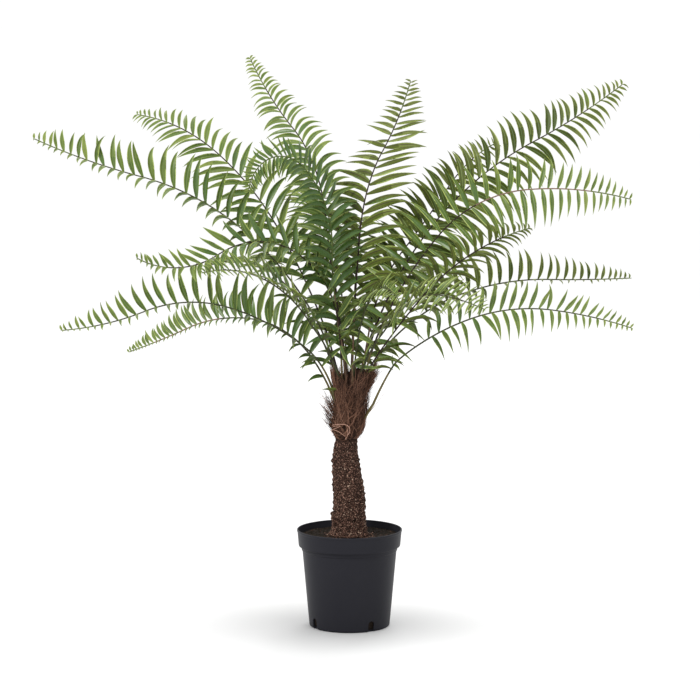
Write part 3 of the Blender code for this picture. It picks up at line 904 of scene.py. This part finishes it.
crown = dict(
    stemFoot=0.3459,
    steps=240,
    stemPart=0.14,
    ribWidths=(0.0034, 0.0029, 0.0018),
    fronds=(
        # azimuth, turn, rise at five stations, length, longest leaflet,
        # roll, lift, foot, fullness, curl, shade
        (180, 45, (90, 80, 90, 45, -80), 0.57, 0.105, -70, 10, 0.004, 2.2, 0.4, -0.05),
        (185, 0, (90, 60, 40, 15, 25), 0.73, 0.094, -50, 40, 0.0145, 5, 0.28, 0.42),
        (150, 0, (85, 65, 55, 35, 5), 0.68, 0.102, -45, 10, 0.011, 3, 0.24, 0.36),
        (128, 0, (90, 75, 80, 35, 52), 0.672, 0.094, -40, 10, 0.0065, 2.2, 0.4, 0.34),
        (60, 0, (90, 85, 80, 40, 60), 0.607, 0.124, 175, 10, 0.008, 2.6, 0.28, 0.3),
        (20, 0, (85, 65, 45, 25, 35), 0.76, 0.11, 71, 10, 0.012, 2.8, 0.32, 0.25),
        (-10, 0, (85, 65, 50, 5, -15), 0.67, 0.091, 75, 10, 0.014, 2.9, 0.24, 0.38),
        (195, 0, (90, 38, 18, -20, -2), 0.56, 0.093, -50, 40, 0.0195, 2.8, 0.32, 0.4),
        (10, 0, (90, 45, 18, -2, 2), 0.57, 0.086, 50, 45, 0.019, 2.5, 0.3, 0.32),
        (-20, 0, (72, 38, 20, -5, -16), 0.535, 0.076, 60, 15, 0.02, 2.6, 0.3, 0.44),
        (205, 0, (90, 85, 35, -30, 30), 0.59, 0.096, -45, 35, 0.012, 3, 0.34, 0.32),
        (45, 0, (80, 75, 40, 45, 15), 0.59, 0.094, -125, 10, 0.015, 3, 0.4, 0.3),
        (-40, 0, (85, 50, 45, 30, 15), 0.5, 0.088, -45, 25, 0.017, 3, 0.4, 0.25),
        (235, 0, (70, 60, 35, 15, -5), 0.5, 0.088, -35, 30, 0.018, 3, 0.4, 0.25),
        (-60, 0, (70, 55, 30, 0, -10), 0.5, 0.088, 40, 20, 0.017, 3, 0.4, 0.42),
        (160, 0, (75, 50, 5, -25, -20), 0.47, 0.077, -45, 30, 0.018, 3, 0.34, 0.28),
        (85, 0, (80, 65, 55, 40, -30), 0.45, 0.077, 0, 10, 0.014, 3, 0.4, 0.5),
        (105, 0, (85, 65, 45, 20, 0), 0.56, 0.094, 0, 15, 0.0102, 3, 0.4, 0.34),
        (122, 0, (75, 45, 25, 0, -15), 0.56, 0.088, 0, 20, 0.017, 3, 0.4, 0.38),
        (68, 0, (75, 45, 20, 0, -10), 0.54, 0.088, 0, 20, 0.019, 3, 0.4, 0.38),
        (95, 0, (75, 50, 25, 5, -10), 0.58, 0.088, 0, 20, 0.019, 3, 0.4, 0.38),
        (285, 0, (85, 70, 40, 10, -20), 0.42, 0.072, 45, 20, 0.0142, 2.5, 0.4, 0.2),
    ),
    pieces=dict(
        leafletsUpper=(1, 2, 3, 4, 5, 6, 7),
        leafletsSides=(8, 9, 10, 11, 12, 13, 16),
        leafletsLower=(14, 15, 17, 18, 19, 20, 21, 22),
    ),
    split=(1, 7, 8, 9, 10, 11, 15, 16, 19, 20, 21, 22),
    pairSpace=0.0172,
    pairEven=0.36,
    thin=0.6,
    droop=0.14,
    sag=0.08,
    rows=12,
    fold=31,
    crease=70,
    strays=(
        # root, tip, facing, width, tint
        (0.0084, -0.0312, 0.4349, 0.0518, -0.046, 0.434, 0.1, -1, 0.35, 0.0076, 0.46),
        (-0.0148, -0.0069, 0.4663, 0.0052, -0.052, 0.4262, -0.2, -1, -0.35, 0.0086, 0.5),
        (-0.0205, -0.018, 0.3955, -0.0462, -0.02, 0.395, -0.1, 1, -0.25, 0.0062, 0.44),
    ),
    # 0 is for the fronds that have no value of their own
    closer={0: 1, 1: 0.68, 2: 1.05, 4: 0.8, 5: 0.92, 9: 0.92, 10: 0.9, 16: 0.58, 22: 0.85},
    pairCrowd={0: 1.62, 1: 2.05},
    thinPart={0: 0.24, 18: 0.52, 19: 0.52, 20: 0.52, 21: 0.52},
    shortInner={0: 1, 10: 0.28, 14: 0.6, 22: 0.6},
    lowShort={0: 0, 2: 0.42, 8: 0.58, 9: 0.62, 10: 0.42, 16: 0.7},
    lowFrom={0: 0, 2: 0.4, 8: 0.12, 9: 0.25, 10: 0.55, 16: -0.1},
    sweep={0: 47, 2: 58, 5: 56, 6: 52, 7: 72, 8: 62, 9: 72, 10: 60, 16: 60},
    splay={0: 0, 10: 0.012, 8: 0.002, 13: -0.007, 14: -0.021, 15: -0.021, 22: -0.004},
    splayPart={0: 0.22, 14: 0.38, 15: 0.38},
    glow={0: 0.16, 1: 0.5, 4: 0.32, 17: 0.36, 22: 0.26},
    footPart={0: 0.17, 1: 0.36, 5: 0.3, 12: 0.26, 18: 0.3},
    # finish numbers of the stem's foot, the rib and its outer part
    footTone={0: 0, 1: 4, 2: 5, 3: 1, 4: 1, 5: 4, 6: 1, 12: 4, 14: 5, 15: 5, 17: 1, 18: 4},
    ribTone={0: 1, 1: 3, 2: 5, 8: 5, 9: 5, 10: 5, 14: 5, 15: 5, 16: 5, 22: 5},
    outerTone={7: 2, 16: 2},
    oliveFronds=(6, 9),
    bladeTones=("bladeDeep", "bladeLeaf", "bladeFresh", "bladeLight", "bladeTip"),
    oliveTones=("oliveDeep", "oliveDeep", "oliveLeaf", "oliveLight", "bladeLight"),
)

bladeParts = np.linspace(0, 1, crown["rows"] + 1) ** 0.9
bladeAcross = np.array((-1, -0.74, -0.11, 0.11, 0.74, 1, 0.13, -0.13))  # the last two beneath
bladeSunk = np.repeat((0, 0.0004), (6, 2))


def own(setting, number):
    return crown[setting].get(number, crown[setting][0])


def ribCurve(number):
    # points and frames along a rib, by the rule that shapes the solids
    azimuth, turn, rise, length, _, roll, _, foot, _, _, _ = crown["fronds"][number - 1]
    steps = crown["steps"]
    along = np.minimum(np.arange(steps + 1) + 0.5, steps - 0.5) / steps
    climb = np.radians(np.interp(along * 4, range(5), rise))[:, None]
    heading = np.radians(azimuth + turn * along)
    side = polar(1, heading - pi / 2, 0)
    ahead = polar(1, heading, 0)
    tangent = ahead * np.cos(climb) + up * np.sin(climb)
    upper = np.cross(side, tangent)
    normal = upper * cos(radians(roll)) + side * sin(radians(roll))
    root = ahead[0] * foot + up * crown["stemFoot"]
    points = np.vstack((root, root + np.cumsum(tangent[:-1] * (length / steps), axis=0)))
    faded = np.clip(along / own("splayPart", number), 0, 1)
    bowed = (0.45 + 0.55 * np.minimum(along / 0.05, 1)) * (1 - faded**3) ** 1.5
    points = points + ahead * (own("splay", number) * bowed)[:, None]
    return points, tangent, normal, np.cross(tangent, normal)


def ribRadius(along):
    return np.interp(along, (0, crown["stemPart"], 1), crown["ribWidths"]) / 2


def leafletSize(blade, fullness):
    return np.minimum(0.75 + 1.2 * blade, 1) * (0.1 + 0.9 * (1 - blade**fullness) ** 0.85)


def leafletOutline(part):
    # half width along a leaflet: narrow root, full at the belly, long taper
    belly = 0.34
    rising = 0.34 + 0.66 * np.sin(np.clip(part / belly, 0, 1) * pi / 2) ** 0.8
    falling = (1 - np.clip((part - belly) / (1 - belly), 0, 1) ** 1.5) ** 1.1
    return np.where(part < belly, rising, falling)


def bladeBodies(root, ahead, bend, tangent, hand, long, wide):
    # folded, twisted blades with a midrib, each along its own bending spine
    count = len(root)
    part = bladeParts[:, None]
    ahead, bend, hand = ahead[:, None], bend[:, None], hand[:, None, None]
    spine = root[:, None] + (ahead * part + bend * part**2) * long[:, None, None]
    along = unit(ahead + 2 * bend * part)
    thick = unit(np.cross(along, np.broadcast_to(tangent[:, None], along.shape)) * hand)
    flat = np.cross(thick, along) * hand
    twist = gauss(0, 0.16, (count, 1, 1)) + gauss(0, 0.3, (count, 1, 1)) * part
    near, far = np.cos(twist), np.sin(twist)
    flat, thick = flat * near + thick * far, thick * near - flat * far
    half = (wide[:, None] / 2 * leafletOutline(bladeParts))[:, :, None, None]
    fold = np.radians(crown["fold"] + gauss(0, 5, (count, 1, 1, 1)))
    wave = uniform(0, tau, (count, 1, 1, 1))
    ripple = 0.1 * np.sin(part[:, :, None] * 9 + wave)
    across = bladeAcross[:, None]
    bow = np.abs(across) ** 1.25
    aside = flat[:, :, None] * (half * across * np.cos(fold))
    lifted = half * bow * np.sin(fold) + half * ripple * bow - bladeSunk[:, None]
    rings = spine[:, :, None] + aside + thick[:, :, None] * lifted
    return np.concatenate((rings[:, :-1].reshape(count, -1, 3), rings[:, -1:, 2]), axis=1)


def dealt(level, limits, *names):
    # finish numbers by name, parted at the limits
    return np.array([list(leafTones).index(name) for name in names])[np.digitize(level, limits)]


def leafletKinds(tint, olive=False):
    # the finish of each face, dealt by tint and by how far along the leaflet it lies
    part = (np.arange(crown["rows"]) + 0.5) / crown["rows"]
    level = tint[:, None] - 0.02 + 0.28 * part**1.6
    blade = dealt(level, (0.3, 0.5, 0.7, 0.9), *crown["oliveTones" if olive else "bladeTones"])
    margin = dealt(level, (0.28, 0.48), "marginDark", "marginFresh", "marginPale")
    midrib = dealt(level, (0.5,), "midribFresh", "midribPale")
    under = dealt(level, (0.36, 0.66), "underDark", "underOlive", "underPale")
    underRib = dealt(level, (), "underMidrib")
    return np.stack((margin, blade, midrib, blade, margin, under, underRib, under), axis=-1)


def frondLeaflets(number):
    # points, finishes and hand of every leaflet of one frond
    _, _, _, length, longest, _, lift, _, fullness, curled, shade = crown["fronds"][number - 1]
    points, tangents, normals, sides = ribCurve(number)
    steps, stem, even = crown["steps"], crown["stemPart"], crown["pairEven"]
    pairs = round(length * (1 - stem) / (crown["pairSpace"] * own("closer", number)))
    evenly = np.arange(pairs + 1) / pairs
    edges = evenly * even + (1 - (1 - evenly) ** own("pairCrowd", number)) * (1 - even)
    hand = np.tile((1, -1), pairs)
    aside = uniform(-0.1, 0.1, 2 * pairs) + 0.12 * hand
    blade = np.repeat((edges[:-1] + edges[1:]) / 2, 2) + np.repeat(np.diff(edges), 2) * aside
    blade = np.clip(blade, 0, 0.997)
    kept = (spray.random(2 * pairs) > crown["thin"]) | (blade > own("thinPart", number))
    blade, hand = blade[kept], hand[kept]
    count = len(blade)
    station = (stem + (1 - stem) * blade) * steps
    place = station.astype(int).clip(0, steps - 1)
    share = (station - place)[:, None]
    root = points[place] * (1 - share) + points[place + 1] * share
    tangent, normal, side = tangents[place], normals[place], sides[place]
    outward = side * hand[:, None]
    radius = ribRadius(place / steps)[:, None]
    root = root + outward * radius * 0.5 + normal * radius * 0.25
    long = longest * leafletSize(blade, fullness) * uniform(0.93, 1.05, count)
    first = own("shortInner", number)
    long = long * np.minimum(first + (1 - first) * blade / 0.45, 1)
    cut = own("lowShort", number) * np.clip((blade - own("lowFrom", number)) / 0.35, 0, 1)
    long = np.where(outward[:, 2] < 0, long * (1 - cut), long)  # the row that hangs
    wide = (0.0029 + 0.106 * long) * uniform(0.9, 1.1, count)
    sweep = np.radians(own("sweep", number) + gauss(0, 3.5, (count, 1)))
    raised = np.radians(lift + gauss(0, 5, (count, 1)))
    across = outward * np.cos(raised) + normal * np.sin(raised)
    ahead = tangent * np.cos(sweep) + across * np.sin(sweep)
    curl = gauss(0, 0.05, (count, 1)) - curled
    droop = crown["droop"] + gauss(0, 0.06, (count, 1))
    bend = tangent * curl - normal * droop - up * crown["sag"]
    bodies = bladeBodies(root, ahead, bend, tangent, hand, long, wide)
    # inner leaflets are made paler where the crown's core lies in shade: painted light
    paintedCoreLight = 0.12 * np.clip(1 - blade / 0.35, 0, 1)
    tint = shade + 0.02 + paintedCoreLight + 0.28 * blade + own("glow", number) * blade**3
    tint = tint + gauss(0, 0.1, count)
    return bodies, leafletKinds(tint, number in crown["oliveFronds"]), hand


def strayLeaflets():
    # single leaflets that hang among the stems
    table = np.array(crown["strays"])
    root, tip, face = np.split(table[:, :9], 3, axis=1)
    long = np.linalg.norm(tip - root, axis=-1)
    ahead, face, hand = (tip - root) / long[:, None], unit(face), np.ones(len(table))
    tangent = unit(np.cross(face, ahead))
    bodies = bladeBodies(root, ahead, -0.1 * face, tangent, hand, long, table[:, 9])
    return bodies, leafletKinds(table[:, 10]), hand


def leafFinish(name, colour, rough, gloss, share=0.78, veins=0.5):
    finish = Finish(name, gloss)
    mottle = finish.cloud(85, 4, 0.6)
    place = finish.node("UVMap", {"uv_map": "bladePlace"})
    across, along = (finish.node("SeparateXYZ", {}, {0: place}, out) for out in (0, 1))
    turns = (along * 34 - abs(across) * 2.6) * tau
    lines = finish.node("Math", {"operation": "SINE"}, {0: turns})
    height = lines * veins + finish.cloud(1800, 2) * 0.5
    colour = finish.mottled(mottle, 0.3, 0.7, colour, [part * share for part in colour])
    return finish.wear(colour, rough + mottle * 0.14, height, 0.00018, 0.3)


leafTones = dict(
    # colour, roughness, gloss, share of the colour in the dark patches, depth of the veins
    bladeDeep=((0.044, 0.104, 0.015), 0.28, 0.48),
    bladeLeaf=((0.062, 0.122, 0.019), 0.29, 0.52),
    bladeFresh=((0.074, 0.128, 0.02), 0.33, 0.3),
    bladeLight=((0.114, 0.168, 0.03), 0.35, 0.3),
    bladeTip=((0.178, 0.23, 0.044), 0.37, 0.3),
    marginFresh=((0.135, 0.2, 0.038), 0.36, 0.3, 0.85, 0.1),
    marginPale=((0.295, 0.355, 0.092), 0.38, 0.3, 0.85, 0.1),
    midribFresh=((0.075, 0.13, 0.028), 0.34, 0.3, 0.85, 0),
    midribPale=((0.14, 0.19, 0.052), 0.36, 0.3, 0.85, 0),
    underOlive=((0.084, 0.11, 0.015), 0.5, 0.16),
    underPale=((0.145, 0.18, 0.04), 0.5, 0.22),
    underDark=((0.046, 0.066, 0.008), 0.5, 0.14),
    underMidrib=((0.045, 0.04, 0.014), 0.48, 0.22, 0.7, 0),
    marginDark=((0.07, 0.125, 0.018), 0.36, 0.26, 0.85, 0.1),
    oliveDeep=((0.045, 0.062, 0.008), 0.34, 0.2),
    oliveLeaf=((0.072, 0.094, 0.015), 0.35, 0.22),
    oliveLight=((0.118, 0.142, 0.028), 0.36, 0.26),
)
leafFinishes = [leafFinish(name, *look) for name, look in leafTones.items()]


def makeLeaflets(name, numbers):
    sets = [frondLeaflets(number) for number in numbers]
    if name == "leafletsLower":
        sets.append(strayLeaflets())
    bodies, kinds, hands = (np.concatenate(parts) for parts in zip(*sets))
    places = np.stack(np.broadcast_arrays(bladeAcross, bladeParts[:-1, None]), axis=-1)
    uv = np.tile(np.vstack((places.reshape(-1, 2), (0, 1))), (len(bodies), 1))
    nodes = []
    for number in numbers:
        node = f"frond_{number:02d}"
        nodes += [node, node + "_outer"] if number in crown["split"] else [node]
    buildPiece(
        name, bodies.reshape(-1, 3), spikeGroups(kinds, hands < 0), leafFinishes, nodes,
        crease=crown["crease"], uv=uv,
    )


for name, numbers in crown["pieces"].items():
    makeLeaflets(name, numbers)


# Stems and ribs

ribs = dict(
    every=2,
    sides=8,
    footSwell=0.55,
    footReach=0.11,
    innerPart=0.62,
    outerPart=0.9,
    tipTone=3,
    tones=dict(
        stemOlive=((0.07, 0.058, 0.018), (0.14, 0.115, 0.044), 0.5),
        ribBrown=((0.012, 0.006, 0.004), (0.026, 0.014, 0.009), 0.6),
        ribTan=((0.13, 0.076, 0.054), (0.2, 0.12, 0.086), 0.5),
        ribGreen=((0.062, 0.084, 0.02), (0.1, 0.13, 0.032), 0.5),
        stemTan=((0.115, 0.07, 0.04), (0.21, 0.135, 0.088), 0.5),
        ribMoss=((0.026, 0.03, 0.01), (0.048, 0.052, 0.02), 0.55),
    ),
)


def stemFinish(name, dark, light, rough):
    finish = Finish(name, 0.22)
    streak = finish.cloud(240, 3, 0.6, 0.3)
    fine = finish.cloud(1700, 2)
    colour = finish.mottled(streak, 0.34, 0.66, dark, light)
    return finish.wear(colour, rough + streak * 0.15, fine, 0.0002, 0.35)


def makeRibs():
    part = np.arange(0, crown["steps"] + 1, ribs["every"]) / crown["steps"]
    middle = (part[:-1] + part[1:]) / 2
    radius = ribRadius(part) * (1 + ribs["footSwell"] * np.exp(-part / ribs["footReach"]))
    paths, kinds = [], []
    for number in range(1, len(crown["fronds"]) + 1):
        paths.append(ribCurve(number)[0][::ribs["every"]])
        inner = own("ribTone", number)
        tones = own("footTone", number), inner, crown["outerTone"].get(number, inner)
        limits = own("footPart", number), ribs["innerPart"], ribs["outerPart"]
        kinds.append(np.select([middle < limit for limit in limits], tones, ribs["tipTone"]))
    finishes = [stemFinish(name, *look) for name, look in ribs["tones"].items()]
    paths = np.stack(paths, axis=1)
    radii = np.repeat(radius[:, None], len(kinds), axis=1)
    tubePiece("frondRibs", paths, radii, np.array(kinds), finishes, ribs["sides"])


makeRibs()
